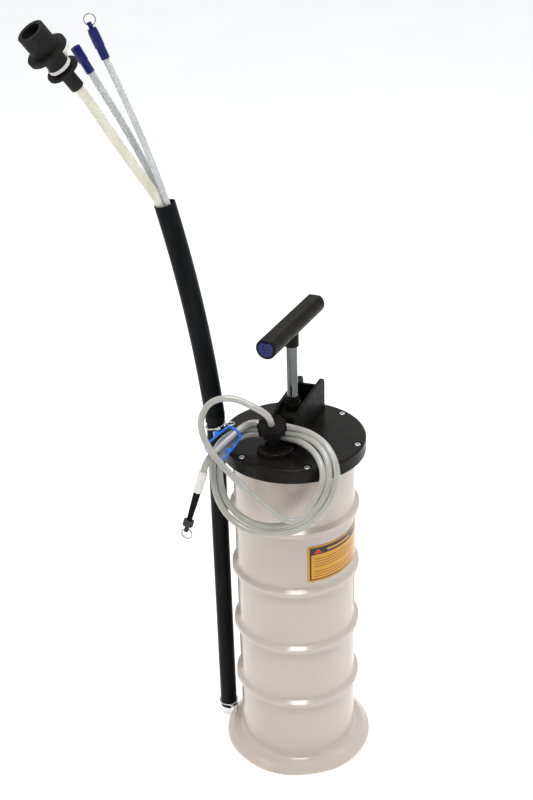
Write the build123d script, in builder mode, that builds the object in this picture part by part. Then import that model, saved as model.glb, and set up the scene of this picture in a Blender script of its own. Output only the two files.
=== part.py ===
from build123d import *
import os
from math import cos, pi, radians, sin, tan

# A hand-operated vacuum extractor for workshop fluids. A ribbed plastic container
# stands on a wide foot. A hand pump on its lid draws the air out, so that fluid
# runs in through the suction hose. A storage tube beside it holds the dip probes.
# Millimetres. The origin is on the ground at the container's axis, +Z is up, and
# the hose inlet is at the front, towards -Y.

# --- fits ---------------------------------------------------------------------
running_fit = 0.05
loose_fit = 0.3

# --- container and foot -------------------------------------------------------
wall_r = 76.0
wall = 2.5
rib_depth = 5.5
rib_half = 6.5
rib_crown = 2.5
rib_count = 4
rib_first_z = 104.0
rib_pitch = 87.0
foot_r = 97.5
foot_edge = 5.0
foot_ridge_r = 89.0
foot_ridge_z = 10.8
foot_skin = 3.5
foot_wall_z = 14.0
floor_z = 7.0
floor_thickness = 2.5
pad_count = 6
arch_width = 66.0
arch_height = 2.2
flange_r = 86.0
flange_thickness = 6.0
container_top = 455.5
rib_root_fillet = 3.0
rib_crown_fillet = 2.0
foot_ridge_fillet = 12.0
foot_wall_fillet = 9.0
foot_edge_fillet = 2.5
floor_fillet = 6.0

# --- lid, gasket and screws ---------------------------------------------------
gasket_thickness = 1.5
gasket_width = 5.4
lid_r = 89.5
lid_plate = 5.0
lid_rim_depth = 13.0
lid_edge_r = 3.0
boss_edge_r = 1.5
screw_count = 6
screw_circle_r = 82.0
screw_r = 2.0
screw_length = 16.0
screw_head_r = 4.0
screw_head = 2.0
screw_pocket_r = 5.5
screw_pocket = 2.4
screw_edge_r = 0.8
cross_length = 4.0
cross_width = 0.9
cross_depth = 1.0

# --- pump ---------------------------------------------------------------------
stroke_up = 120.0
stroke_down = 66.0
end_gap = 4.0
rod_r = 6.5
rod_bore_r = 4.5
rod_stud_r = 4.0
piston_height = 16.0
piston_side_gap = 0.4
cup_height = 6.0
cup_depth = 4.0
buffer_height = 8.0
buffer_edge_r = 1.5
buffer_r = 11.0
nut_across = 13.0
nut_height = 6.5
piston_z = 305.0
cylinder_r = 20.0
cylinder_wall = 2.0
cylinder_flange_r = 27.0
cylinder_flange = 3.0
end_cap_thickness = 5.0
end_cap_skirt = 9.0
end_cap_wall = 2.0
flap_r = 8.0
flap_thickness = 1.0
flap_lift = 1.5
flap_head = 0.8
flap_pin_r = 1.5
flap_pin_head_r = 3.0
flap_port_r = 1.6
flap_port_circle = 5.2

# --- pump head, the dark saddle on the lid ------------------------------------
saddle_half = 16.5
saddle_base = 6.0
saddle_front = -30.0
saddle_back = 77.0
fin_inner = 12.0
fin_thickness = 4.0
fin_height = 45.0
head_depth = 20.0
head_height = 35.0
head_edge_r = 5.0
web_y = 62.0
web_thickness = 4.0
web_corner_r = 10.0
web_height = 38.0
bush_r = 8.0
bush_seat = 12.0
bush_stand = 6.0
bush_notch_depth = 2.4
bush_notch_width = 3.0
bush_neck_r = 7.2
bush_neck = 6.0
seal_height = 5.0
gland_collar_r = 10.0
gland_collar = 4.0
gland_neck_r = 7.9
gland_neck = 8.0
gland_lugs = 6

# --- handle -------------------------------------------------------------------
grip_length = 146.0
grip_r = 12.5
grip_flat = 10.5
grip_z = 608.0
grip_turn = 85.2
grip_collar_r = 8.6
grip_collar_z = 582.0
rod_in_grip = 18.0
grip_cap_r = 9.2
grip_cap_depth = 8.0
grip_cap_holes = 6
grip_cap_flat = 7.6
grip_side_r = 2.5
grip_end_r = 1.2
cap_hole_r = 0.8
cap_hole_circle_r = 4.2
cap_hole_depth = 2.0

# --- hose inlet ---------------------------------------------------------------
inlet_x = -7.0
inlet_y = -47.5
inlet_tilt = 16.0
boss_r = 22.0
boss_height = 7.0
stem_r = 6.0
stem_below_lid = 7.0
bore_r = 2.8
inlet_flange_r = 12.0
inlet_flange = 3.0
washer = 1.0
neck_r = 8.0
neck_length = 33.0
inlet_nut_r = 17.5
inlet_nut_low = 26.0
inlet_nut_high = 36.0
nut_scallops = 12
nut_scallop_r = 3.2

# --- suction hose, one soft tube with two loose turns -------------------------
hose_r = 4.0
coil_r = 4.8
hose_exit_gap = 0.2
hose_exit_run = 12.0
lead_route = [
    (-15.5, -61.5, 521.0),
    (-29.5, -62.5, 527.5),
    (-46.0, -62.0, 533.5),
    (-64.0, -67.0, 535.5),
    (-80.0, -73.0, 528.5),
    (-86.4, -85.2, 512.3),
    (-80.4, -93.2, 493.3),
    (-64.4, -101.2, 476.3),
    (-44.0, -107.5, 460.5),
    (-21.0, -110.5, 441.5),
    (3.0, -109.5, 421.0),
    (24.0, -103.0, 403.0),
    (41.5, -97.5, 399.0),
]
coil_gap = 0.4
coil_route = [
    (8.0, -39.1, 487.5),
    (34.0, -44.5, 487.0),
    (58.0, -56.0, 477.0),
    (72.0, -74.0, 455.0),
    (64.0, -88.0, 425.0),
    (42.0, -97.0, 400.0),
    (8.0, -101.0, 385.0),
    (-28.0, -101.5, 386.0),
    (-56.0, -96.0, 406.0),
    (-70.0, -84.0, 436.0),
    (-72.0, -66.5, 467.8),
    (-47.8, -45.7, 483.4),
    (-20.0, -39.1, 487.5),
]
tail_end_run = 11.0
tail_route = [
    (-14.0, -39.1, 487.5),
    (-31.0, -41.0, 494.0),
    (-44.7, -50.0, 494.3),
    (-73.0, -89.3, 468.2),
]

# --- free end of the hose -----------------------------------------------------
end_start = (-80.0, -97.5, 449.4)
end_direction = (-0.236, -0.233, -0.943)
sleeve_r = 5.4
sleeve_length = 27.5
sleeve_lap = 8.0
tip_r = 4.4
tip_end_r = 3.2
tip_length = 38.0
tip_bore_r = 1.8
plug_stem_r = 1.7
plug_stem = 10.0
plug_head_r = 6.4
plug_head = 7.5
plug_nub_r = 2.8
plug_nub = 8.0
plug_eye_r = 1.5
plug_eye_drop = 5.0
ring_r = 6.6
ring_rise = 0.3
ring_wire_r = 0.7

# --- pinch clamp on the hose --------------------------------------------------
clamp_middle = (-63.3, -75.8, 477.1)
clamp_normal = (0.433, -0.695, 0.575)
clamp_width = 11.0
clamp_hole_r = 4.9
clamp_hole_reach = 40.0
clamp_hinge = (-18.7, 9.25)
clamp_knuckle_r = 1.4
# Outlines are drawn along the hose and across it, from the clamp's middle.
clamp_frame_outline = [
    (-20.6, 10.2),
    (-23.6, 7.4),
    (-25.2, 0.0),
    (-23.2, -9.0),
    (-20.0, -12.2),
    (12.0, -14.2),
    (17.0, -13.2),
    (19.2, -8.0),
    (19.2, 4.0),
    (16.0, 6.6),
    (15.0, 4.6),
    (16.8, 2.0),
    (16.8, -8.0),
    (15.4, -11.0),
    (12.0, -11.8),
    (-19.4, -9.8),
    (-21.3, -7.4),
    (-22.8, 0.0),
    (-21.6, 5.6),
    (-20.6, 7.6),
]
clamp_jaw_outline = [
    (-18.7, 8.2),
    (-18.7, 10.3),
    (-5.0, 13.0),
    (12.0, 14.8),
    (17.0, 14.4),
    (17.0, 12.4),
    (12.0, 12.6),
    (4.0, 12.0),
    (1.5, 7.6),
    (-1.5, 7.6),
    (-5.0, 10.8),
]
clamp_hook_outline = [(-9.0, -12.0), (-3.0, -18.5), (1.0, -12.6)]

# --- storage tube -------------------------------------------------------------
lean_angle = 20.5
tube_gap = 1.0
tube_y = -3.5
tube_r = 11.0
tube_bore_r = 9.8
tube_foot_z = 19.0
tube_cap = 2.0
tube_nub_r = 2.7
tube_nub = 8.0
joint_z = 465.5
joint_height = 10.5
joint_overlap = 6.0
joint_r = 12.25
joint_band = 2.2
joint_band_depth = 0.6
joint_band_levels = (0.8, 4.2, 7.6)
upper_r = 12.75
upper_bore_r = 11.6
upper_lean = [(-1.0, 461.0), (16.0, 600.0), (46.0, 751.0)]
band_wire_r = 0.9
band_tilt = 14.0
band_z = 460.5
eyelet_r = 4.4
low_band_z = 24.0
low_eyelet = (-87.0, -9.0, 14.0)

# --- dip probes ---------------------------------------------------------------
# A place is a probe's distance across the upper tube's axis and its depth from the
# tube's leaning plane. Shares say where along the upper tube it is held there. Lower
# and outer points are the distance along the lean, the height and the depth.
large_r = 5.75
large_bore_r = 4.6
large_place = (5.1, -1.5)
large_shares = (0.20, 0.35, 0.50, 0.65, 0.80, 0.93)
large_outer = [(52.3, 757.0, -2.2), (70.5, 786.0, -4.5), (100.0, 836.0, -7.5)]
medium_r = 4.25
medium_bore_r = 3.2
medium_place = (-1.6, 6.4)
medium_shares = (0.18, 0.35, 0.50, 0.65, 0.80, 0.95)
medium_lower = [(-0.4, 22.0, 4.4), (-0.4, 470.0, 4.4)]
medium_outer = [(53.5, 767.0, 8.0), (79.5, 827.0, 8.0), (118.5, 902.0, 6.0)]
small_r = 3.75
small_bore_r = 2.7
small_place = (-4.6, -5.4)
small_shares = (0.18, 0.35, 0.50, 0.65, 0.80, 0.95)
small_lower = [(-2.5, 22.0, -3.9), (-2.5, 470.0, -3.9)]
small_outer = [(57.0, 803.0, -5.4), (77.5, 862.0, -5.4), (99.5, 919.0, -5.4)]
probe_lap = 9.0

# Steps of the funnel adapter: length of each and its outside radius.
adapter_axis = (0.480, 0.8025, -0.354)
adapter_start = (131.5, 892.0, -17.0)
adapter_steps = [(25.0, 8.0), (3.0, 19.0), (24.0, 12.0), (4.0, 24.0), (27.0, 16.0)]
adapter_mouth_r = 11.0
adapter_mouth_depth = 50.0
probe_in_adapter = 20.0
probe_run_in = 16.0
cable_tie_r = 1.4
cable_tie_width = 4.0
tie_head_length = 4.5
tie_head_width = 6.5
tie_tail_length = 18.0
tie_tail_thickness = 1.2

connector_neck_r = 5.0
connector_body_r = 5.9
connector_neck = 14.0
connector_body = 18.0
connector_bore_r = 4.2
probe_plug_r = 5.2
probe_plug_top = 3.0
probe_plug_tab = 7.0
probe_plug_depth = 8.0
probe_tab_r = 2.6
probe_eye_rise = 3.6
probe_ring_r = 6.2

# --- labels -------------------------------------------------------------------
label_thickness = 0.25
warning_from = -60.0
warning_to = 17.0
warning_low = 293.0
warning_high = 345.0
side_from = 8.0
side_to = 78.0
side_low = 212.0
side_high = 262.0

# --- levels worked out from the sizes above -----------------------------------
lid_underside = container_top + gasket_thickness
lid_top = lid_underside + lid_plate
boss_top = lid_top + boss_height
head_top = lid_top + head_height
bush_top = head_top + bush_stand
rod_start_z = piston_z + piston_height
buffer_top = rod_start_z + buffer_height
cylinder_floor = piston_z - nut_height - stroke_down - end_gap
grip_axis_x = cos(radians(grip_turn))
grip_axis_y = sin(radians(grip_turn))
tube_x = -(lid_r + tube_gap + tube_r)
joint_top = joint_z + joint_height
tube_top = joint_z + joint_overlap

# --- working planes -----------------------------------------------------------
inlet_axis = Vector(0, -sin(radians(inlet_tilt)), cos(radians(inlet_tilt)))
inlet_plane = Plane(origin=(inlet_x, inlet_y, boss_top), x_dir=(1, 0, 0), z_dir=inlet_axis)
boss_plane = Plane(origin=(inlet_x, inlet_y, 0))
tube_plane = Plane(origin=(tube_x, tube_y, 0))
lean_plane = Plane(
    origin=(tube_x, tube_y, 0),
    x_dir=(-cos(radians(lean_angle)), -sin(radians(lean_angle)), 0),
    z_dir=(-sin(radians(lean_angle)), cos(radians(lean_angle)), 0),
)
# The clamp lies along the straight run of hose that it holds.
clamp_along = (Vector(*tail_route[3]) - Vector(*tail_route[2])).normalized()
clamp_plane = Plane(origin=clamp_middle, x_dir=clamp_along, z_dir=clamp_normal)
end_axis = Vector(*end_direction).normalized()
end_plane = Plane(origin=end_start, x_dir=(0, 1, 0), z_dir=end_axis)
grip_plane = Plane(
    origin=(-grip_axis_x * grip_length / 2, -grip_axis_y * grip_length / 2, grip_z),
    x_dir=(grip_axis_y, -grip_axis_x, 0),
    z_dir=(grip_axis_x, grip_axis_y, 0),
)

os.makedirs("parts", exist_ok=True)


def bend_radii(points):
    """Radius at each corner: 0.45 of the shorter run over the tangent of half the turn."""
    corners = [Vector(*point) for point in points]
    radii = []
    for before, corner, after in zip(corners, corners[1:], corners[2:]):
        run_in = corner - before
        run_out = after - corner
        half_turn = radians(run_in.get_angle(run_out)) / 2
        radii.append(0.45 * min(run_in.length, run_out.length) / tan(half_turn))
    return radii


def ribbed_wall(radius):
    """Corners of the ribbed wall at one radius, from the lowest rib up."""
    corners = []
    for number in range(rib_count):
        z = rib_first_z + number * rib_pitch
        corners += [(radius, z - rib_half), (radius + rib_depth, z - rib_crown)]
        corners += [(radius + rib_depth, z + rib_crown), (radius, z + rib_half)]
    return corners


def local_direction(plane, direction):
    """A direction given in a plane's own axes, as one in the main frame."""
    return plane.from_local_coords(Vector(*direction)) - plane.origin


# ==============================================================================
# Container
# ==============================================================================

inner_r = wall_r - wall
outer_wall = ribbed_wall(wall_r)
inner_wall = ribbed_wall(inner_r)
foot_outline = [
    (0, floor_z),
    (foot_ridge_r - foot_skin, floor_z),
    (foot_r - foot_edge, foot_skin),
    (foot_r - foot_edge, 0),
    (foot_r, 0),
    (foot_r, foot_skin),
    (foot_ridge_r, foot_ridge_z),
    (wall_r, foot_wall_z),
]
top_outline = [
    (wall_r, container_top - flange_thickness),
    (flange_r, container_top - flange_thickness),
    (flange_r, container_top),
    (inner_r, container_top),
]
bottom_outline = [(inner_r, floor_z + floor_thickness), (0, floor_z + floor_thickness)]

with BuildPart() as container:
    with BuildSketch(Plane.XZ):
        with BuildLine():
            Polyline(
                foot_outline + outer_wall + top_outline + inner_wall[::-1] + bottom_outline,
                close=True,
            )
        make_face()
        root_corners = vertices().filter_by(
            lambda v: round(v.X, 3) in (wall_r, inner_r)
            and foot_wall_z + 1 < v.Y < container_top - flange_thickness - 1
        )
        crown_corners = vertices().filter_by(
            lambda v: round(v.X, 3) in (wall_r + rib_depth, inner_r + rib_depth) and v.Y > foot_wall_z
        )
        fillet(root_corners, radius=rib_root_fillet)
        fillet(crown_corners, radius=rib_crown_fillet)
        fillet(vertices().filter_by(lambda v: v.Y == foot_ridge_z), radius=foot_ridge_fillet)
        fillet(vertices().filter_by(lambda v: v.Y == foot_wall_z), radius=foot_wall_fillet)
        fillet(vertices().filter_by(lambda v: v.X == foot_r and v.Y > 1), radius=foot_edge_fillet)
        floor_corner = vertices().filter_by(lambda v: round(v.X, 3) == inner_r and v.Y < foot_wall_z)
        fillet(floor_corner, radius=floor_fillet)
    revolve(axis=Axis.Z)
    # Shallow arches leave the pads that the foot stands on.
    for number in range(pad_count):
        turn = radians(360 / pad_count * number)
        outward = Plane(origin=(0, 0, 0), x_dir=(-sin(turn), cos(turn), 0), z_dir=(cos(turn), sin(turn), 0))
        with BuildSketch(outward):
            with BuildLine():
                Line((-arch_width / 2, 0), (arch_width / 2, 0))
                ThreePointArc((-arch_width / 2, 0), (0, arch_height), (arch_width / 2, 0))
            make_face()
        extrude(amount=foot_r + foot_edge, mode=Mode.SUBTRACT)
    with BuildSketch(Plane.XY.offset(container_top)):
        with PolarLocations(screw_circle_r, screw_count):
            Circle(screw_r + running_fit)
    extrude(amount=-flange_thickness, mode=Mode.SUBTRACT)
container.part.label = "container"
export_step(container.part, "parts/container.step")

# ==============================================================================
# Lid, gasket and screws
# ==============================================================================

with BuildPart() as lid:
    with BuildSketch(Plane.XY.offset(lid_underside - lid_rim_depth)):
        Circle(lid_r)
    extrude(amount=lid_rim_depth + lid_plate)
    with BuildSketch(Plane.XY.offset(lid_underside - lid_rim_depth)):
        Circle(flange_r + loose_fit)
    extrude(amount=lid_rim_depth, mode=Mode.SUBTRACT)
    fillet(edges().filter_by(GeomType.CIRCLE).group_by(Axis.Z)[-1], radius=lid_edge_r)
    with BuildSketch(boss_plane.offset(lid_top)):
        Circle(boss_r)
    extrude(amount=boss_height)
    fillet(edges().filter_by(GeomType.CIRCLE).group_by(Axis.Z)[-1], radius=boss_edge_r)
    with BuildSketch(Plane.XY.offset(lid_top)):
        with PolarLocations(screw_circle_r, screw_count):
            Circle(screw_pocket_r)
    extrude(amount=-screw_pocket, mode=Mode.SUBTRACT)
    with BuildSketch(Plane.XY.offset(lid_top)):
        Circle(rod_r + loose_fit)
        with PolarLocations(screw_circle_r, screw_count):
            Circle(screw_r + running_fit)
    extrude(amount=-lid_plate, mode=Mode.SUBTRACT)
    with BuildSketch(boss_plane.offset(boss_top)):
        Circle(stem_r + running_fit)
    extrude(amount=-(boss_height + lid_plate), mode=Mode.SUBTRACT)
lid.part.label = "lid"
export_step(lid.part, "parts/lid.step")

with BuildPart() as lid_gasket:
    with BuildSketch(Plane.XY.offset(container_top)):
        Circle(inner_r + gasket_width)
        Circle(inner_r, mode=Mode.SUBTRACT)
    extrude(amount=gasket_thickness)
lid_gasket.part.label = "lid_gasket"
export_step(lid_gasket.part, "parts/lid_gasket.step")

screw_seat = lid_top - screw_pocket
with BuildPart() as lid_screws:
    with BuildSketch(Plane.XY.offset(screw_seat)):
        with PolarLocations(screw_circle_r, screw_count):
            Circle(screw_head_r)
    extrude(amount=screw_head)
    fillet(edges().filter_by(GeomType.CIRCLE).group_by(Axis.Z)[-1], radius=screw_edge_r)
    with BuildSketch(Plane.XY.offset(screw_seat)):
        with PolarLocations(screw_circle_r, screw_count):
            Circle(screw_r)
    extrude(amount=-screw_length)
    with BuildSketch(Plane.XY.offset(screw_seat + screw_head)):
        with PolarLocations(screw_circle_r, screw_count):
            Rectangle(cross_length, cross_width)
            Rectangle(cross_width, cross_length)
    extrude(amount=-cross_depth, mode=Mode.SUBTRACT)
lid_screws.part.label = "lid_screws"
export_step(lid_screws.part, "parts/lid_screws.step")

# ==============================================================================
# Pump head: saddle with two fins, rod seal, bush and gland nut
# ==============================================================================

fin_top = lid_top + fin_height
fin_outline = [
    (saddle_front - 4, lid_top),
    (saddle_front - 4, fin_top - 13),
    (saddle_front + 2, fin_top - 7),
    (saddle_front + 10, fin_top - 3),
    (saddle_front + 22, fin_top),
    (saddle_back, fin_top),
    (saddle_back, lid_top),
]

with BuildPart() as saddle:
    with BuildSketch(Plane.XY.offset(lid_top)):
        with Locations((0, (saddle_front + saddle_back) / 2)):
            Rectangle(2 * saddle_half, saddle_back - saddle_front)
    extrude(amount=saddle_base)
    for side in (-1, 1):
        with BuildSketch(Plane.YZ.offset(side * (fin_inner + fin_thickness / 2))):
            with BuildLine():
                Polyline(fin_outline, close=True)
            make_face()
            fillet(vertices().group_by(Axis.Y)[-1].sort_by(Axis.X)[-1], radius=web_corner_r)
        extrude(amount=fin_thickness / 2, both=True)
    with BuildSketch(Plane.YZ):
        with Locations((0, lid_top + head_height / 2)):
            Rectangle(2 * head_depth, head_height)
        fillet(vertices().group_by(Axis.Y)[-1], radius=head_edge_r)
    extrude(amount=fin_inner, both=True)
    with BuildSketch(Plane.XY.offset(lid_top)):
        with Locations((0, web_y + web_thickness / 2)):
            Rectangle(2 * fin_inner, web_thickness)
    extrude(amount=web_height)
    with BuildSketch(Plane.XY.offset(lid_top)):
        Circle(rod_r + loose_fit)
    extrude(amount=head_height, mode=Mode.SUBTRACT)
    with BuildSketch(Plane.XY.offset(head_top)):
        Circle(bush_r + running_fit)
    extrude(amount=-(bush_seat + seal_height), mode=Mode.SUBTRACT)
    # The saddle is cut back round the lid's raised inlet boss.
    with BuildSketch(boss_plane.offset(lid_top)):
        Circle(boss_r + loose_fit)
    extrude(amount=boss_height + loose_fit, mode=Mode.SUBTRACT)
saddle.part.label = "saddle"
export_step(saddle.part, "parts/saddle.step")

seal_z = head_top - bush_seat - seal_height
with BuildPart() as rod_seal:
    with BuildSketch(Plane.XY.offset(seal_z)):
        Circle(bush_r)
        Circle(rod_r + running_fit, mode=Mode.SUBTRACT)
    extrude(amount=seal_height)
rod_seal.part.label = "rod_seal"
export_step(rod_seal.part, "parts/rod_seal.step")

with BuildPart() as gland_bush:
    with BuildSketch(Plane.XY.offset(head_top - bush_seat)):
        Circle(bush_r)
    extrude(amount=bush_seat + bush_stand)
    with BuildSketch(Plane.XY.offset(bush_top)):
        Circle(bush_neck_r)
    extrude(amount=bush_neck)
    with BuildSketch(Plane.XY.offset(head_top - bush_seat)):
        Circle(rod_r + running_fit)
    extrude(amount=bush_seat + bush_stand + bush_neck, mode=Mode.SUBTRACT)
gland_bush.part.label = "gland_bush"
export_step(gland_bush.part, "parts/gland_bush.step")

with BuildPart() as gland_nut:
    with BuildSketch(Plane.XY.offset(bush_top)):
        Circle(gland_collar_r)
        with PolarLocations(gland_collar_r, gland_lugs):
            Rectangle(bush_notch_depth, bush_notch_width, mode=Mode.SUBTRACT)
    extrude(amount=gland_collar)
    with BuildSketch(Plane.XY.offset(bush_top + gland_collar)):
        Circle(gland_neck_r)
    extrude(amount=gland_neck)
    with BuildSketch(Plane.XY.offset(bush_top)):
        Circle(bush_neck_r + running_fit)
    extrude(amount=bush_neck, mode=Mode.SUBTRACT)
    with BuildSketch(Plane.XY.offset(bush_top)):
        Circle(rod_r + running_fit)
    extrude(amount=gland_collar + gland_neck, mode=Mode.SUBTRACT)
gland_nut.part.label = "gland_nut"
export_step(gland_nut.part, "parts/gland_nut.step")

# ==============================================================================
# Pump barrel, end cap and intake flap
# ==============================================================================

cylinder_outer_r = cylinder_r + cylinder_wall
with BuildPart() as pump_cylinder:
    with BuildSketch(Plane.XY.offset(cylinder_floor)):
        Circle(cylinder_outer_r)
    extrude(amount=lid_underside - cylinder_floor)
    with BuildSketch(Plane.XY.offset(lid_underside)):
        Circle(cylinder_flange_r)
    extrude(amount=-cylinder_flange)
    with BuildSketch(Plane.XY.offset(cylinder_floor)):
        Circle(cylinder_r)
    extrude(amount=lid_underside - cylinder_floor, mode=Mode.SUBTRACT)
pump_cylinder.part.label = "pump_cylinder"
export_step(pump_cylinder.part, "parts/pump_cylinder.step")

pin_height = flap_thickness + flap_lift
with BuildPart() as cylinder_end_cap:
    with BuildSketch(Plane.XY.offset(cylinder_floor - end_cap_thickness)):
        Circle(cylinder_outer_r + running_fit + end_cap_wall)
    extrude(amount=end_cap_thickness + end_cap_skirt)
    with BuildSketch(Plane.XY.offset(cylinder_floor)):
        Circle(cylinder_outer_r + running_fit)
    extrude(amount=end_cap_skirt, mode=Mode.SUBTRACT)
    with BuildSketch(Plane.XY.offset(cylinder_floor)):
        with PolarLocations(flap_port_circle, 6):
            Circle(flap_port_r)
    extrude(amount=-end_cap_thickness, mode=Mode.SUBTRACT)
    with BuildSketch(Plane.XY.offset(cylinder_floor)):
        Circle(flap_pin_r)
    extrude(amount=pin_height)
    with BuildSketch(Plane.XY.offset(cylinder_floor + pin_height)):
        Circle(flap_pin_head_r)
    extrude(amount=flap_head)
cylinder_end_cap.part.label = "cylinder_end_cap"
export_step(cylinder_end_cap.part, "parts/cylinder_end_cap.step")

with BuildPart() as intake_flap:
    with BuildSketch(Plane.XY.offset(cylinder_floor)):
        Circle(flap_r)
        Circle(flap_pin_r + loose_fit, mode=Mode.SUBTRACT)
    extrude(amount=flap_thickness)
intake_flap.part.label = "intake_flap"
export_step(intake_flap.part, "parts/intake_flap.step")

# ==============================================================================
# Piston, cup, rod, nut and buffer
# ==============================================================================

cup_inner_r = cylinder_r - cup_depth
cup_z = piston_z + (piston_height - cup_height) / 2
with BuildPart() as piston:
    with BuildSketch(Plane.XY.offset(piston_z)):
        Circle(cylinder_r - piston_side_gap)
        Circle(rod_stud_r + running_fit, mode=Mode.SUBTRACT)
    extrude(amount=piston_height)
    with BuildSketch(Plane.XY.offset(cup_z)):
        Circle(cylinder_r)
        Circle(cup_inner_r, mode=Mode.SUBTRACT)
    extrude(amount=cup_height, mode=Mode.SUBTRACT)
piston.part.label = "piston"
export_step(piston.part, "parts/piston.step")

with BuildPart() as piston_cup:
    with BuildSketch(Plane.XY.offset(cup_z)):
        Circle(cylinder_r - running_fit)
        Circle(cup_inner_r + running_fit, mode=Mode.SUBTRACT)
    extrude(amount=cup_height)
piston_cup.part.label = "piston_cup"
export_step(piston_cup.part, "parts/piston_cup.step")

with BuildPart() as pump_rod:
    with BuildSketch(Plane.XY.offset(piston_z - nut_height)):
        Circle(rod_stud_r)
    extrude(amount=nut_height + piston_height)
    with BuildSketch(Plane.XY.offset(rod_start_z)):
        Circle(rod_r)
    extrude(amount=grip_collar_z + rod_in_grip - rod_start_z)
    with BuildSketch(Plane.XY.offset(grip_collar_z + rod_in_grip)):
        Circle(rod_bore_r)
    extrude(amount=-(grip_collar_z + rod_in_grip - buffer_top), mode=Mode.SUBTRACT)
pump_rod.part.label = "pump_rod"
export_step(pump_rod.part, "parts/pump_rod.step")

with BuildPart() as piston_nut:
    with BuildSketch(Plane.XY.offset(piston_z)):
        RegularPolygon(radius=nut_across / 2, side_count=6, major_radius=False)
        Circle(rod_stud_r + running_fit, mode=Mode.SUBTRACT)
    extrude(amount=-nut_height)
piston_nut.part.label = "piston_nut"
export_step(piston_nut.part, "parts/piston_nut.step")

with BuildPart() as rod_buffer:
    with BuildSketch(Plane.XY.offset(rod_start_z)):
        Circle(buffer_r)
        Circle(rod_r + running_fit, mode=Mode.SUBTRACT)
    extrude(amount=buffer_height)
    top_edges = edges().filter_by(GeomType.CIRCLE).group_by(Axis.Z)[-1]
    fillet(top_edges.sort_by(SortBy.RADIUS)[-1], radius=buffer_edge_r)
rod_buffer.part.label = "rod_buffer"
export_step(rod_buffer.part, "parts/rod_buffer.step")

# ==============================================================================
# Handle grip and its two end caps
# ==============================================================================

with BuildPart() as handle_grip:
    with BuildSketch(grip_plane):
        Circle(grip_r)
        with Locations((0, -grip_flat - grip_r)):
            Rectangle(2 * grip_r, 2 * grip_r, mode=Mode.SUBTRACT)
        fillet(vertices(), radius=grip_side_r)
    extrude(amount=grip_length)
    fillet(faces().filter_by(GeomType.PLANE).sort_by(Axis.Y)[0].edges(), radius=grip_end_r)
    fillet(faces().filter_by(GeomType.PLANE).sort_by(Axis.Y)[-1].edges(), radius=grip_end_r)
    with BuildSketch(Plane.XY.offset(grip_collar_z)):
        Circle(grip_collar_r)
    extrude(amount=grip_z - grip_collar_z)
    for end in (grip_plane, grip_plane.offset(grip_length - grip_cap_depth)):
        with BuildSketch(end):
            Circle(grip_cap_r + running_fit)
        extrude(amount=grip_cap_depth, mode=Mode.SUBTRACT)
    with BuildSketch(Plane.XY.offset(grip_collar_z)):
        Circle(rod_r + running_fit)
    extrude(amount=rod_in_grip, mode=Mode.SUBTRACT)
handle_grip.part.label = "handle_grip"
export_step(handle_grip.part, "parts/handle_grip.step")


def grip_cap(outer_plane):
    """A flat-bottomed round cap with a centre hole and a ring of small blind holes."""
    with BuildPart() as cap:
        with BuildSketch(outer_plane):
            Circle(grip_cap_r)
            with Locations((0, -grip_cap_r - grip_cap_flat)):
                Rectangle(2 * grip_cap_r, 2 * grip_cap_r, mode=Mode.SUBTRACT)
        extrude(amount=-grip_cap_depth)
        with BuildSketch(outer_plane):
            Circle(cap_hole_r)
            with PolarLocations(cap_hole_circle_r, grip_cap_holes):
                Circle(cap_hole_r)
        extrude(amount=-cap_hole_depth, mode=Mode.SUBTRACT)
    return cap


front_end = Plane(origin=grip_plane.origin, x_dir=-grip_plane.x_dir, z_dir=-grip_plane.z_dir)
rear_end = grip_plane.offset(grip_length)
handle_end_cap_front = grip_cap(front_end)
handle_end_cap_front.part.label = "handle_end_cap_front"
export_step(handle_end_cap_front.part, "parts/handle_end_cap_front.step")
handle_end_cap_rear = grip_cap(rear_end)
handle_end_cap_rear.part.label = "handle_end_cap_rear"
export_step(handle_end_cap_rear.part, "parts/handle_end_cap_rear.step")

# ==============================================================================
# Hose inlet: washer, tilted spigot and scalloped nut
# ==============================================================================

with BuildPart() as inlet_seal:
    with BuildSketch(boss_plane.offset(boss_top)):
        Circle(inlet_flange_r)
        Circle(stem_r + running_fit, mode=Mode.SUBTRACT)
    extrude(amount=washer)
inlet_seal.part.label = "inlet_seal"
export_step(inlet_seal.part, "parts/inlet_seal.step")

spigot_base_z = boss_top + washer
stem_bottom_z = lid_underside - stem_below_lid
with BuildPart() as inlet_spigot:
    with BuildSketch(inlet_plane):
        Circle(neck_r)
    extrude(amount=neck_length)
    # The tilted neck is trimmed level with the flange's underside.
    with BuildSketch(boss_plane.offset(spigot_base_z)):
        Circle(boss_r)
    extrude(amount=-boss_r, mode=Mode.SUBTRACT)
    with BuildSketch(boss_plane.offset(spigot_base_z)):
        Circle(inlet_flange_r)
    extrude(amount=inlet_flange)
    with BuildSketch(boss_plane.offset(spigot_base_z)):
        Circle(stem_r)
    extrude(amount=-(spigot_base_z - stem_bottom_z))
    with BuildSketch(inlet_plane):
        Circle(bore_r)
    extrude(amount=neck_length, mode=Mode.SUBTRACT)
    with BuildSketch(boss_plane.offset(stem_bottom_z)):
        Circle(bore_r)
    extrude(amount=boss_top + inlet_flange - stem_bottom_z, mode=Mode.SUBTRACT)
inlet_spigot.part.label = "inlet_spigot"
export_step(inlet_spigot.part, "parts/inlet_spigot.step")

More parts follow.
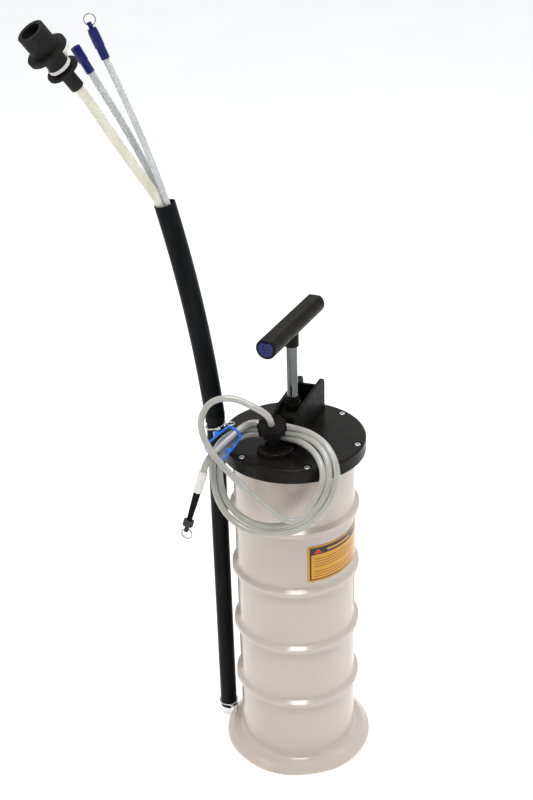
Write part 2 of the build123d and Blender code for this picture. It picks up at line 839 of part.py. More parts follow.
with BuildPart() as inlet_nut:
    with BuildSketch(inlet_plane.offset(inlet_nut_low)):
        Circle(inlet_nut_r)
        with PolarLocations(inlet_nut_r + 1.4, nut_scallops):
            Circle(nut_scallop_r, mode=Mode.SUBTRACT)
    extrude(amount=inlet_nut_high - inlet_nut_low)
    with BuildSketch(inlet_plane.offset(inlet_nut_low)):
        Circle(neck_r + running_fit)
    extrude(amount=neck_length + hose_exit_gap - inlet_nut_low, mode=Mode.SUBTRACT)
    with BuildSketch(inlet_plane.offset(inlet_nut_low)):
        Circle(hose_r + loose_fit)
    extrude(amount=inlet_nut_high - inlet_nut_low, mode=Mode.SUBTRACT)
inlet_nut.part.label = "inlet_nut"
export_step(inlet_nut.part, "parts/inlet_nut.step")

# ==============================================================================
# Suction hose: lead from the inlet, coiled turns and tail to the free end
# ==============================================================================

hose_start = inlet_plane.origin + inlet_axis * neck_length
lead_points = [hose_start, hose_start + inlet_axis * hose_exit_run] + lead_route
with BuildPart() as suction_hose_lead:
    with BuildLine() as lead_line:
        FilletPolyline(*lead_points, radius=bend_radii(lead_points))
    with BuildSketch(Plane(origin=lead_line.line @ 0, z_dir=lead_line.line % 0)):
        Circle(hose_r)
    sweep()
suction_hose_lead.part.label = "suction_hose_lead"
export_step(suction_hose_lead.part, "parts/suction_hose_lead.step")

# The coiled turns fill one ring, whose two ends meet behind the inlet's neck.
ring_first = Vector(*coil_route[0])
ring_last = Vector(*coil_route[-1])
ring_seam = (ring_first + ring_last) / 2
half_gap = (ring_first - ring_last).normalized() * coil_gap / 2
coil_points = [ring_seam + half_gap] + coil_route + [ring_seam - half_gap]
with BuildPart() as suction_hose_coil:
    with BuildLine() as coil_line:
        FilletPolyline(*coil_points, radius=bend_radii(coil_points))
    with BuildSketch(Plane(origin=coil_line.line @ 0, z_dir=coil_line.line % 0)):
        Circle(coil_r)
    sweep()
suction_hose_coil.part.label = "suction_hose_coil"
export_step(suction_hose_coil.part, "parts/suction_hose_coil.step")

tail_points = tail_route + [Vector(*end_start) - end_axis * tail_end_run, Vector(*end_start)]
with BuildPart() as suction_hose_tail:
    with BuildLine() as tail_line:
        FilletPolyline(*tail_points, radius=bend_radii(tail_points))
    with BuildSketch(Plane(origin=tail_line.line @ 0, z_dir=tail_line.line % 0)):
        Circle(hose_r)
    sweep()
suction_hose_tail.part.label = "suction_hose_tail"
export_step(suction_hose_tail.part, "parts/suction_hose_tail.step")

for name, route in (("lead", lead_points), ("coil", coil_points), ("tail", tail_points)):
    print(name, "bend radii", [round(radius, 1) for radius in bend_radii(route)])
for name, line, radius, solid in (
    ("lead", lead_line, hose_r, suction_hose_lead),
    ("coil", coil_line, coil_r, suction_hose_coil),
    ("tail", tail_line, hose_r, suction_hose_tail),
):
    length = sum(edge.length for edge in line.line.edges())
    share = solid.part.volume / (pi * radius**2 * length)
    print(name, "length", round(length, 1), "volume over expected", round(share, 4))

# ==============================================================================
# Free end of the hose: sleeve, tapered tip, plug and split ring
# ==============================================================================

sleeve_end = sleeve_length
tip_end = sleeve_end + tip_length
ring_hook = end_plane.offset(tip_end + plug_head + plug_eye_drop).origin
with BuildPart() as hose_sleeve:
    with BuildSketch(end_plane):
        Circle(sleeve_r)
    extrude(amount=sleeve_length)
    with BuildSketch(end_plane.offset(sleeve_length)):
        Circle(tip_r + running_fit)
    extrude(amount=-sleeve_lap, mode=Mode.SUBTRACT)
    with BuildSketch(end_plane):
        Circle(tip_bore_r)
    extrude(amount=sleeve_length, mode=Mode.SUBTRACT)
hose_sleeve.part.label = "hose_sleeve"
export_step(hose_sleeve.part, "parts/hose_sleeve.step")

with BuildPart() as hose_tip:
    with BuildSketch(end_plane.offset(sleeve_end - sleeve_lap)):
        Circle(tip_r)
    with BuildSketch(end_plane.offset(sleeve_end + 4)):
        Circle(tip_r)
    loft()
    with BuildSketch(end_plane.offset(sleeve_end + 4)):
        Circle(tip_r)
    with BuildSketch(end_plane.offset(tip_end)):
        Circle(tip_end_r)
    loft()
    with BuildSketch(end_plane.offset(tip_end)):
        Circle(tip_bore_r)
    extrude(amount=-(tip_length + sleeve_lap), mode=Mode.SUBTRACT)
hose_tip.part.label = "hose_tip"
export_step(hose_tip.part, "parts/hose_tip.step")

with BuildPart() as hose_plug:
    with BuildSketch(end_plane.offset(tip_end)):
        Circle(plug_stem_r)
    extrude(amount=-plug_stem)
    with BuildSketch(end_plane.offset(tip_end)):
        Circle(plug_head_r)
        with PolarLocations(plug_head_r + 0.4, 16):
            Circle(0.9, mode=Mode.SUBTRACT)
    extrude(amount=plug_head)
    with BuildSketch(end_plane.offset(tip_end + plug_head)):
        Circle(plug_nub_r)
    extrude(amount=plug_nub)
    # A level cross hole in the nub takes the split ring.
    with BuildSketch(Plane(origin=ring_hook, z_dir=(1, 0, 0))):
        Circle(plug_eye_r)
    extrude(amount=2 * plug_nub_r, both=True, mode=Mode.SUBTRACT)
hose_plug.part.label = "hose_plug"
export_step(hose_plug.part, "parts/hose_plug.step")

ring_centre = ring_hook + Vector(0, 0, ring_rise - ring_r)
with BuildPart() as split_ring:
    with BuildSketch(Plane(origin=ring_centre + Vector(ring_r, 0, 0), x_dir=(1, 0, 0), z_dir=(0, 0, 1))):
        Circle(ring_wire_r)
    revolve(axis=Axis(ring_centre, (0, 1, 0)))
split_ring.part.label = "split_ring"
export_step(split_ring.part, "parts/split_ring.step")

# ==============================================================================
# Pinch clamp: bowed frame and hinged jaw
# ==============================================================================

with BuildPart() as pinch_clamp_body:
    with BuildSketch(clamp_plane):
        with BuildLine():
            Polyline(clamp_frame_outline, close=True)
        make_face()
        with BuildLine():
            Polyline(clamp_hook_outline, close=True)
        make_face()
    extrude(amount=clamp_width / 2, both=True)
    # The hose runs through a hole in each end wall.
    with BuildSketch(Plane(origin=clamp_middle, z_dir=clamp_along)):
        Circle(clamp_hole_r)
    extrude(amount=clamp_hole_reach, both=True, mode=Mode.SUBTRACT)
pinch_clamp_body.part.label = "pinch_clamp_body"
export_step(pinch_clamp_body.part, "parts/pinch_clamp_body.step")

with BuildPart() as pinch_clamp_jaw:
    with BuildSketch(clamp_plane):
        with BuildLine():
            Polyline(clamp_jaw_outline, close=True)
        make_face()
        with Locations(clamp_hinge):
            Circle(clamp_knuckle_r)
    extrude(amount=clamp_width / 2 - loose_fit, both=True)
pinch_clamp_jaw.part.label = "pinch_clamp_jaw"
export_step(pinch_clamp_jaw.part, "parts/pinch_clamp_jaw.step")

# ==============================================================================
# Storage tube: lower tube, bottom cap, joint collar, leaning upper tube and ties
# ==============================================================================

with BuildPart() as storage_tube_lower:
    with BuildSketch(tube_plane.offset(tube_foot_z)):
        Circle(tube_r)
        Circle(tube_bore_r, mode=Mode.SUBTRACT)
    extrude(amount=tube_top - tube_foot_z)
storage_tube_lower.part.label = "storage_tube_lower"
export_step(storage_tube_lower.part, "parts/storage_tube_lower.step")

with BuildPart() as storage_tube_cap:
    with BuildSketch(tube_plane.offset(tube_foot_z)):
        Circle(tube_r)
    extrude(amount=-tube_cap)
    with BuildSketch(tube_plane.offset(tube_foot_z - tube_cap)):
        Circle(tube_nub_r)
    extrude(amount=-tube_nub)
storage_tube_cap.part.label = "storage_tube_cap"
export_step(storage_tube_cap.part, "parts/storage_tube_cap.step")

with BuildPart() as storage_tube_collar:
    with BuildSketch(tube_plane.offset(joint_z)):
        Circle(joint_r - joint_band_depth)
    extrude(amount=joint_height)
    for level in joint_band_levels:
        with BuildSketch(tube_plane.offset(joint_z + level)):
            Circle(joint_r)
        extrude(amount=joint_band)
    with BuildSketch(tube_plane.offset(joint_z)):
        Circle(tube_r + running_fit)
    extrude(amount=joint_overlap, mode=Mode.SUBTRACT)
    with BuildSketch(tube_plane.offset(joint_z)):
        Circle(tube_bore_r)
    extrude(amount=joint_height, mode=Mode.SUBTRACT)
storage_tube_collar.part.label = "storage_tube_collar"
export_step(storage_tube_collar.part, "parts/storage_tube_collar.step")

with BuildPart() as storage_tube_upper:
    with BuildLine(lean_plane) as lean_line:
        ThreePointArc(*upper_lean)
    with BuildSketch(Plane(origin=lean_line.line @ 0, z_dir=lean_line.line % 0)):
        Circle(upper_r)
        Circle(upper_bore_r, mode=Mode.SUBTRACT)
    sweep()
    split(bisect_by=Plane.XY.offset(joint_top), keep=Keep.TOP)
storage_tube_upper.part.label = "storage_tube_upper"
export_step(storage_tube_upper.part, "parts/storage_tube_upper.step")

# The upper band tilts, so that it clears the lid's edge on the side next to the lid.
band_r = (tube_r + loose_fit + band_wire_r) / cos(radians(band_tilt))
tilt = radians(band_tilt)
band_plane = Plane(
    origin=(tube_x, tube_y, band_z),
    x_dir=(cos(tilt), 0, sin(tilt)),
    z_dir=(-sin(tilt), 0, cos(tilt)),
)
eyelet_z = lid_top + band_wire_r + loose_fit
eyelet_plane = Plane(origin=(-screw_circle_r, 0, eyelet_z))
near_side = band_plane.from_local_coords(Vector(band_r, 0, 0))
with BuildPart() as tube_tie_upper:
    with BuildSketch(Plane(origin=near_side, x_dir=band_plane.x_dir, z_dir=band_plane.y_dir)):
        Circle(band_wire_r)
    revolve(axis=Axis(band_plane.origin, band_plane.z_dir))
    eyelet_side = (-screw_circle_r - eyelet_r, 0, eyelet_z)
    with BuildSketch(Plane(origin=eyelet_side, x_dir=(1, 0, 0), z_dir=(0, 1, 0))):
        Circle(band_wire_r)
    revolve(axis=Axis(eyelet_plane.origin, (0, 0, 1)))
    with BuildLine() as upper_strand:
        Line(near_side, eyelet_side)
    with BuildSketch(Plane(origin=upper_strand.line @ 0, z_dir=upper_strand.line % 0)):
        Circle(band_wire_r)
    sweep()
tube_tie_upper.part.label = "tube_tie_upper"
export_step(tube_tie_upper.part, "parts/tube_tie_upper.step")

low_band_r = tube_r + loose_fit + band_wire_r
with BuildPart() as tube_tie_lower:
    low_side = (tube_x + low_band_r, tube_y, low_band_z)
    with BuildSketch(Plane(origin=low_side, x_dir=(1, 0, 0), z_dir=(0, 1, 0))):
        Circle(band_wire_r)
    revolve(axis=Axis((tube_x, tube_y, 0), (0, 0, 1)))
    with BuildLine() as lower_strand:
        Line(low_side, low_eyelet)
    with BuildSketch(Plane(origin=lower_strand.line @ 0, z_dir=lower_strand.line % 0)):
        Circle(band_wire_r)
    sweep()
tube_tie_lower.part.label = "tube_tie_lower"
export_step(tube_tie_lower.part, "parts/tube_tie_lower.step")

# ==============================================================================
# Dip probes with their adapter, cable tie, connectors and plug
# ==============================================================================


def probe_route(lower, place, shares, outer):
    """Route of a probe: up the lower tube, along the upper tube's own bend, then out."""
    across, depth = place
    route = [lean_plane.from_local_coords(Vector(*point)) for point in lower]
    for share in shares:
        side = (lean_line.line % share).cross(lean_plane.z_dir)
        route.append(lean_line.line @ share + side * across + lean_plane.z_dir * depth)
    return route + [lean_plane.from_local_coords(Vector(*point)) for point in outer]


def lapped(route):
    """The route with its end carried on into its connector."""
    last_run = (route[-1] - route[-2]).normalized()
    return route[:-1] + [route[-1] + last_run * probe_lap]


def probe_tube(route, outer, bore):
    """A stiff bent tube along a route."""
    with BuildPart() as tube:
        with BuildLine() as line:
            FilletPolyline(*route, radius=bend_radii(route))
        with BuildSketch(Plane(origin=line.line @ 0, z_dir=line.line % 0)):
            Circle(outer)
            Circle(bore, mode=Mode.SUBTRACT)
        sweep()
    return tube


adapter_direction = local_direction(lean_plane, adapter_axis).normalized()
adapter_origin = lean_plane.from_local_coords(Vector(*adapter_start))
adapter_plane = Plane(origin=adapter_origin, z_dir=adapter_direction)
large_route = probe_route([], large_place, large_shares, large_outer)
large_route.append(adapter_origin - adapter_direction * probe_run_in)
large_route.append(adapter_origin + adapter_direction * probe_in_adapter)
probe_large = probe_tube(large_route, large_r, large_bore_r)
probe_large.part.label = "probe_large"
export_step(probe_large.part, "parts/probe_large.step")

medium_route = probe_route(medium_lower, medium_place, medium_shares, medium_outer)
probe_medium = probe_tube(lapped(medium_route), medium_r, medium_bore_r)
probe_medium.part.label = "probe_medium"
export_step(probe_medium.part, "parts/probe_medium.step")
small_route = probe_route(small_lower, small_place, small_shares, small_outer)
probe_small = probe_tube(lapped(small_route), small_r, small_bore_r)
probe_small.part.label = "probe_small"
export_step(probe_small.part, "parts/probe_small.step")

adapter_length = sum(length for length, radius in adapter_steps)
with BuildPart() as probe_adapter:
    reached = 0.0
    for length, radius in adapter_steps:
        with BuildSketch(adapter_plane.offset(reached)):
            Circle(radius)
        extrude(amount=length)
        reached += length
    with BuildSketch(adapter_plane):
        Circle(large_r + running_fit)
    extrude(amount=probe_in_adapter, mode=Mode.SUBTRACT)
    with BuildSketch(adapter_plane):
        Circle(large_bore_r)
    extrude(amount=adapter_length, mode=Mode.SUBTRACT)
    with BuildSketch(adapter_plane.offset(adapter_length)):
        Circle(adapter_mouth_r)
    extrude(amount=-adapter_mouth_depth, mode=Mode.SUBTRACT)
probe_adapter.part.label = "probe_adapter"
export_step(probe_adapter.part, "parts/probe_adapter.step")

waist_start = adapter_steps[0][0] + adapter_steps[1][0]
waist_r = adapter_steps[2][1]
tie_plane = adapter_plane.offset(waist_start + 3.0)
with BuildPart() as adapter_tie:
    with BuildSketch(tie_plane):
        Circle(waist_r + running_fit + cable_tie_r)
        Circle(waist_r + running_fit, mode=Mode.SUBTRACT)
    extrude(amount=cable_tie_width)
    with BuildSketch(tie_plane.offset(-0.5)):
        with Locations((waist_r + cable_tie_r + 2.0, 0)):
            Rectangle(tie_head_length, tie_head_width)
    extrude(amount=cable_tie_width + 1)
    with BuildSketch(tie_plane.offset(0.5)):
        with Locations((waist_r + cable_tie_r + 12.0, 0)):
            Rectangle(tie_tail_length, tie_tail_thickness)
    extrude(amount=cable_tie_width - 1)
adapter_tie.part.label = "adapter_tie"
export_step(adapter_tie.part, "parts/adapter_tie.step")


def connector(route, tube_radius):
    """A push-on connector: neck over the probe's end, then a wider hexagonal body."""
    base = Plane(origin=route[-1], z_dir=(route[-1] - route[-2]).normalized())
    with BuildPart() as piece:
        with BuildSketch(base):
            Circle(connector_neck_r)
        extrude(amount=connector_neck)
        with BuildSketch(base.offset(connector_neck)):
            RegularPolygon(radius=connector_body_r, side_count=8)
        extrude(amount=connector_body)
        with BuildSketch(base):
            Circle(tube_radius + running_fit)
        extrude(amount=probe_lap, mode=Mode.SUBTRACT)
        with BuildSketch(base):
            Circle(small_bore_r)
        extrude(amount=connector_neck + connector_body, mode=Mode.SUBTRACT)
        with BuildSketch(base.offset(connector_neck + connector_body)):
            Circle(connector_bore_r)
        extrude(amount=-connector_body, mode=Mode.SUBTRACT)
    return piece, base


connector_medium, medium_base = connector(medium_route, medium_r)
connector_medium.part.label = "connector_medium"
export_step(connector_medium.part, "parts/connector_medium.step")
connector_small, small_base = connector(small_route, small_r)
connector_small.part.label = "connector_small"
export_step(connector_small.part, "parts/connector_small.step")

plug_plane = small_base.offset(connector_neck + connector_body)
eye_plane = plug_plane.offset(probe_plug_top + probe_eye_rise)
with BuildPart() as probe_plug:
    with BuildSketch(plug_plane):
        Circle(connector_bore_r - running_fit)
    extrude(amount=-probe_plug_depth)
    with BuildSketch(plug_plane):
        Circle(probe_plug_r)
    extrude(amount=probe_plug_top)
    with BuildSketch(plug_plane.offset(probe_plug_top)):
        Circle(probe_tab_r)
    extrude(amount=probe_plug_tab)
    with BuildSketch(Plane(origin=eye_plane.origin, z_dir=lean_plane.x_dir)):
        Circle(plug_eye_r)
    extrude(amount=probe_plug_r, both=True, mode=Mode.SUBTRACT)
probe_plug.part.label = "probe_plug"
export_step(probe_plug.part, "parts/probe_plug.step")

# This ring leans over the plug and stands up from it.
probe_ring_centre = eye_plane.origin + Vector(0, 0, probe_ring_r - ring_rise)
with BuildPart() as probe_plug_ring:
    ring_side = probe_ring_centre + lean_plane.x_dir * probe_ring_r
    with BuildSketch(Plane(origin=ring_side, x_dir=lean_plane.x_dir, z_dir=(0, 0, 1))):
        Circle(ring_wire_r)
    revolve(axis=Axis(probe_ring_centre, lean_plane.z_dir))
probe_plug_ring.part.label = "probe_plug_ring"
export_step(probe_plug_ring.part, "parts/probe_plug_ring.step")

# ==============================================================================
# Labels, thin films on the container's wall
# ==============================================================================


def wall_label(from_angle, to_angle, low, high):
    """A film that wraps the wall between two angles and two heights."""
    inner = wall_r + running_fit
    edge_x = (cos(radians(from_angle)), sin(radians(from_angle)), 0)
    edge_z = (sin(radians(from_angle)), -cos(radians(from_angle)), 0)
    with BuildPart() as film:
        with BuildSketch(Plane(origin=(0, 0, 0), x_dir=edge_x, z_dir=edge_z)):
            with Locations((inner + label_thickness / 2, (low + high) / 2)):
                Rectangle(label_thickness, high - low)
        revolve(axis=Axis.Z, revolution_arc=to_angle - from_angle)
    return film


warning_label = wall_label(warning_from, warning_to, warning_low, warning_high)
warning_label.part.label = "warning_label"
export_step(warning_label.part, "parts/warning_label.step")
side_label = wall_label(side_from, side_to, side_low, side_high)
side_label.part.label = "side_label"
export_step(side_label.part, "parts/side_label.step")
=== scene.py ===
# %% [markdown]
# A hand-operated fluid extractor, finished for a studio picture.
# The assembly comes in as a fixed frame: every moulded and turned part is already
# in place on its own moving body. This lesson adds what a CAD kernel leaves out,
# which is the soft hose in its loose turns, the printed film, the sprung wire rings
# and the twisted tie wires, and it gives every part a finish with its own grain.

# %% Load the frame and keep its box
from math import cos, pi, radians, sin

import bpy
import numpy as np
from mathutils import Matrix, Vector


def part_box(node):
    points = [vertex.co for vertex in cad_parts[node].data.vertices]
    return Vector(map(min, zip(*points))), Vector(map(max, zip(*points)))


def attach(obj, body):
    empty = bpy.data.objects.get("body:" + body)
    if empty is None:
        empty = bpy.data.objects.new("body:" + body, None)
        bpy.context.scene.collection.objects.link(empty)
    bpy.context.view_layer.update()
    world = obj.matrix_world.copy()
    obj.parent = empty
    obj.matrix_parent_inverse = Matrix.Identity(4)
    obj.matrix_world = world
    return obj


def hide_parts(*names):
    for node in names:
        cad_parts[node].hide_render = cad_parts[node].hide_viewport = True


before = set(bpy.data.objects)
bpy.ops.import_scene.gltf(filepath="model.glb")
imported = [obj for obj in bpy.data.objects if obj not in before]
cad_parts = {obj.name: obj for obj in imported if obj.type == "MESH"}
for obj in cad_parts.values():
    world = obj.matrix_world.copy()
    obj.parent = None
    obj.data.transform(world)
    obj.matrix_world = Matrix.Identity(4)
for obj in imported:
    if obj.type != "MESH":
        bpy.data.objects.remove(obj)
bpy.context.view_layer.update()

MM = 0.001

# %% [markdown]
# The camera stands higher than the object, to the right of the hose inlet, and looks
# down about 27 degrees. A picture like this could be framed with a track-to
# constraint, but three plain vectors say it exactly: the line of sight, the level
# direction to the right, and the small roll of a hand-held camera. The lens is a mild
# telephoto, so the tall tube keeps its lean.

# %% Camera
eye = Vector((0.4677, -1.3415, 1.2421))
aim = Vector((-0.0297, -0.0111, 0.5099))
roll = radians(-1.63)
FILM_HEIGHT, FOCAL_LENGTH = 36, 59.4  # millimetres
sight = (aim - eye).normalized()
level = sight.cross(Vector((0, 0, 1))).normalized()
upward = level.cross(sight)
camera_x = cos(roll) * level + sin(roll) * upward
camera_y = -sin(roll) * level + cos(roll) * upward
camera_data = bpy.data.cameras.new("studio_camera")
camera_data.sensor_fit = "VERTICAL"
camera_data.sensor_height = FILM_HEIGHT
camera_data.lens = FOCAL_LENGTH
camera = bpy.data.objects.new("studio_camera", camera_data)
turned = Matrix((camera_x, camera_y, -sight)).transposed()
camera.matrix_world = Matrix.Translation(eye) @ turned.to_4x4()
bpy.context.scene.collection.objects.link(camera)
bpy.context.scene.camera = camera
print("camera looks", tuple(round(v, 3) for v in sight))

# %% [markdown]
# The object stands on a plain pale floor that runs on into a pale surround, as on a
# paper sweep. Most of the light comes from a panel overhead, so ledges, ribs and the
# foot catch it and upright faces fall darker. A key on the left of the camera, a wide
# fill on its right and a rear panel soften it. Large panels give the long soft
# streaks that tell a glossy lid from a satin grip.

# %% Floor, surround and light panels
FLOOR_REACH = 30.0
floor_corners = [(x * FLOOR_REACH, y * FLOOR_REACH, 0) for x, y in ((-1, -1), (1, -1), (1, 1), (-1, 1))]
floor_mesh = bpy.data.meshes.new("studio_floor")
floor_mesh.from_pydata(floor_corners, [], [(0, 1, 2, 3)])
floor = bpy.data.objects.new("studio_floor", floor_mesh)
bpy.context.scene.collection.objects.link(floor)

# The surround lights the object from behind and is dark on the side of the room it
# faces, so that black parts stay black. What the camera sees of it is plain and pale.
PALE_BEHIND, DARK_BEFORE, SEEN_PALE = (0.78, 0.785, 0.8, 1), (0.05, 0.05, 0.05, 1), (0.97, 0.975, 0.985, 1)
DARK_FROM_HERE = (0.35, -0.92, -0.1)
surround = bpy.data.worlds.new("studio_surround")
surround.use_nodes = True
surround_tree = surround.node_tree
direction = surround_tree.nodes.new("ShaderNodeTexCoord")
facing = surround_tree.nodes.new("ShaderNodeVectorMath")
facing.operation = "DOT_PRODUCT"
facing.inputs[1].default_value = DARK_FROM_HERE
shade = surround_tree.nodes.new("ShaderNodeValToRGB")
pale_stop, dark_stop = shade.color_ramp.elements
pale_stop.position, dark_stop.position = 0.0, 0.72
pale_stop.color, dark_stop.color = PALE_BEHIND, DARK_BEFORE
rays = surround_tree.nodes.new("ShaderNodeLightPath")
seen = surround_tree.nodes.new("ShaderNodeMix")
seen.data_type = "RGBA"
seen.inputs[7].default_value = SEEN_PALE
for start, end in (
    (direction.outputs["Generated"], facing.inputs[0]),
    (facing.outputs["Value"], shade.inputs["Fac"]),
    (rays.outputs["Is Camera Ray"], seen.inputs[0]),
    (shade.outputs["Color"], seen.inputs[6]),
    (seen.outputs[2], surround_tree.nodes["Background"].inputs["Color"]),
):
    surround_tree.links.new(start, end)
bpy.context.scene.world = surround


def light_panel(name, place, at, width, height, power, colour=(1, 1, 1)):
    """A rectangular area light at one point that faces another."""
    data = bpy.data.lights.new(name, "AREA")
    data.shape = "RECTANGLE"
    data.size, data.size_y = width, height
    data.energy = power
    data.color = colour
    panel = bpy.data.objects.new(name, data)
    aimed = (Vector(at) - Vector(place)).to_track_quat("-Z", "Y").to_matrix()
    panel.matrix_world = Matrix.Translation(place) @ aimed.to_4x4()
    bpy.context.scene.collection.objects.link(panel)


light_panel("key_panel", (-1.6, -1.9, 1.7), (0, 0, 0.45), 1.0, 1.7, 10, (1.0, 0.985, 0.96))
light_panel("fill_panel", (2.2, -0.9, 1.3), (0, 0, 0.4), 0.8, 1.8, 8, (0.97, 0.985, 1.0))
light_panel("overhead_panel", (0.45, -1.15, 3.4), (0, 0, 0.4), 1.0, 0.9, 56, (1.0, 0.975, 0.95))
light_panel("rear_panel", (0.1, 0.9, 2.3), (0, 0, 0.4), 1.4, 1.0, 10)
bpy.context.scene.view_settings.view_transform = "Standard"

# %% [markdown]
# Every finish starts from the same four moves, so they are helpers. A finish is one
# Principled shader whose plain values sit on its own sockets. A grain is a noise read
# on Object coordinates, so it stays with the part when the part moves. Its grain size
# is given in metres: the noise scale is one over that size. The grain then steers
# colour, roughness and a bump. Image textures could do the same, but a worked-out
# grain has no seams and no resolution.

# %% Helpers for finishes
def finish(name, colour, roughness, **shader):
    """A material with one Principled shader, its constants set on the shader's sockets."""
    made = bpy.data.materials.new(name)
    made.use_nodes = True
    sockets = made.node_tree.nodes["Principled BSDF"].inputs
    sockets["Base Color"].default_value = (*colour, 1)
    sockets["Roughness"].default_value = roughness
    for socket, value in shader.items():
        sockets[socket.replace("_", " ")].default_value = value
    made.diffuse_color = (*colour, 1)
    return made


def add_node(made, kind, **settings):
    """One node in a finish; settings that name a socket fill it, others are properties."""
    node = made.node_tree.nodes.new(kind)
    for key, value in settings.items():
        if key in node.inputs:
            node.inputs[key].default_value = value
        else:
            setattr(node, key, value)
    return node


def join(made, start, end):
    made.node_tree.links.new(start, end)


def placed(made, stretch=(1, 1, 1), source="Object"):
    """Coordinates of the part itself, stretched by a Mapping node."""
    where = add_node(made, "ShaderNodeTexCoord")
    mapping = add_node(made, "ShaderNodeMapping", Scale=stretch)
    join(made, where.outputs[source], mapping.inputs["Vector"])
    return mapping.outputs["Vector"]


def grain(made, size, detail=4.0, stretch=(1, 1, 1), warp=0.0):
    """A noise with grains about `size` metres across, from 0 to 1."""
    noise = add_node(
        made, "ShaderNodeTexNoise", Scale=1 / size, Detail=detail, Roughness=0.55, Distortion=warp,
    )
    join(made, placed(made, stretch), noise.inputs["Vector"])
    return noise.outputs["Fac"]


def tint(made, value, dark, light, low=0.35, high=0.65):
    """Colour runs from dark to light as the grain goes from low to high."""
    ramp = add_node(made, "ShaderNodeValToRGB")
    dark_stop, light_stop = ramp.color_ramp.elements
    dark_stop.position, light_stop.position = low, high
    dark_stop.color, light_stop.color = (*dark, 1), (*light, 1)
    join(made, value, ramp.inputs["Fac"])
    join(made, ramp.outputs["Color"], made.node_tree.nodes["Principled BSDF"].inputs["Base Color"])


def polish(made, value, smooth, rough, low=0.3, high=0.7):
    """Roughness runs from smooth to rough as the grain goes from low to high."""
    spread = add_node(made, "ShaderNodeMapRange")
    for socket, number in zip(spread.inputs[1:5], (low, high, smooth, rough)):
        socket.default_value = number
    join(made, value, spread.inputs["Value"])
    join(made, spread.outputs["Result"], made.node_tree.nodes["Principled BSDF"].inputs["Roughness"])


def emboss(made, value, height, strength=1.0):
    """A bump whose full step is `height` metres; a second one is laid over the first."""
    normal = made.node_tree.nodes["Principled BSDF"].inputs["Normal"]
    bump = add_node(made, "ShaderNodeBump", Strength=strength, Distance=height)
    join(made, value, bump.inputs["Height"])
    if normal.is_linked:
        join(made, normal.links[0].from_socket, bump.inputs["Normal"])
    join(made, bump.outputs["Normal"], normal)


def wear(*nodes, made, slot=None):
    """Gives a finish to CAD nodes or to new pieces."""
    for node in nodes:
        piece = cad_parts[node] if isinstance(node, str) else node
        if piece.material_slots:
            for held in piece.material_slots:
                held.material = made
        else:
            piece.data.materials.append(made)


print("helpers ready")

# %% [markdown]
# The container is blow-moulded polyethylene, a few millimetres thick and milky, with a
# waxy gloss. Light enters it and scatters, so its shadows are warm and never grey.
# Plain white gloss would look like enamel. Subsurface scattering a few millimetres
# deep gives the glow, a cloudy grain of 90 mm the uneven wall, a slow swell of 70 mm
# the waviness of a blown skin, and a ripple of about 1 mm its orange peel.

# %% Milky blown polyethylene
milky = finish(
    "milky_polyethylene", (0.56, 0.495, 0.44), 0.3, IOR=1.5, Coat_Weight=0.25, Coat_Roughness=0.12,
    Subsurface_Weight=0.45, Subsurface_Scale=0.006, Subsurface_Radius=(1.0, 0.72, 0.5),
)
tint(milky, grain(milky, 0.09, 3, (1, 1, 0.5)), (0.545, 0.48, 0.425), (0.565, 0.502, 0.45))
polish(milky, grain(milky, 0.03, 4), 0.19, 0.25)
emboss(milky, grain(milky, 0.07, 0), 0.0004, 0.2)
emboss(milky, grain(milky, 0.0011, 3), 0.00003, 0.4)
wear("container", made=milky)

grey_barrel = finish("grey_barrel_plastic", (0.5, 0.5, 0.5), 0.4)
tint(grey_barrel, grain(grey_barrel, 0.01), (0.46, 0.46, 0.465), (0.54, 0.54, 0.54))
polish(grey_barrel, grain(grey_barrel, 0.003), 0.34, 0.5)
emboss(grey_barrel, grain(grey_barrel, 0.0012, 4), 0.00005)
wear("pump_cylinder", "cylinder_end_cap", made=grey_barrel)
print("container and barrel finished")

# %% [markdown]
# The lid is black moulded plastic with a smooth face that mirrors the panels softly.
# Handling leaves dull patches, so its roughness wanders between satin and gloss. The
# pump head and the hose nut come from a spark-eroded mould: their skin has a fine,
# even pebble, which is a small strong bump over a rougher surface.

# %% Black lid and textured black plastic
black_lid = finish("black_lid_gloss", (0.014, 0.0135, 0.0125), 0.22, IOR=1.5, Specular_IOR_Level=0.09)
tint(black_lid, grain(black_lid, 0.03, 6), (0.006, 0.0058, 0.0052), (0.012, 0.011, 0.010))
polish(black_lid, grain(black_lid, 0.014, 8, warp=0.6), 0.17, 0.34)
emboss(black_lid, grain(black_lid, 0.009, 2), 0.00012, 0.4)
emboss(black_lid, grain(black_lid, 0.0007, 3), 0.00001, 0.4)
wear("lid", "gland_bush", made=black_lid)

pebbled = finish("black_pebbled_plastic", (0.022, 0.021, 0.02), 0.48, IOR=1.48, Specular_IOR_Level=0.05)
tint(pebbled, grain(pebbled, 0.02, 5), (0.005, 0.0048, 0.0045), (0.012, 0.0112, 0.0105))
polish(pebbled, grain(pebbled, 0.008, 5), 0.4, 0.58)
pebble = add_node(pebbled, "ShaderNodeTexVoronoi", Scale=1 / 0.0011)
join(pebbled, placed(pebbled), pebble.inputs["Vector"])
emboss(pebbled, pebble.outputs["Distance"], 0.00012, 0.6)
wear("saddle", "gland_nut", "inlet_spigot", "inlet_nut", "hose_tip", made=pebbled)

# %% [markdown]
# The storage tube is extruded pipe: the die leaves fine lines along its length, and a
# black pipe that has been handled shows slightly bluish sheen and grey rub marks. A
# grain squeezed across the pipe and stretched along it gives the lines. The grip is
# softer to the eye, so it gets a broad sheen. Rubber parts are duller still.

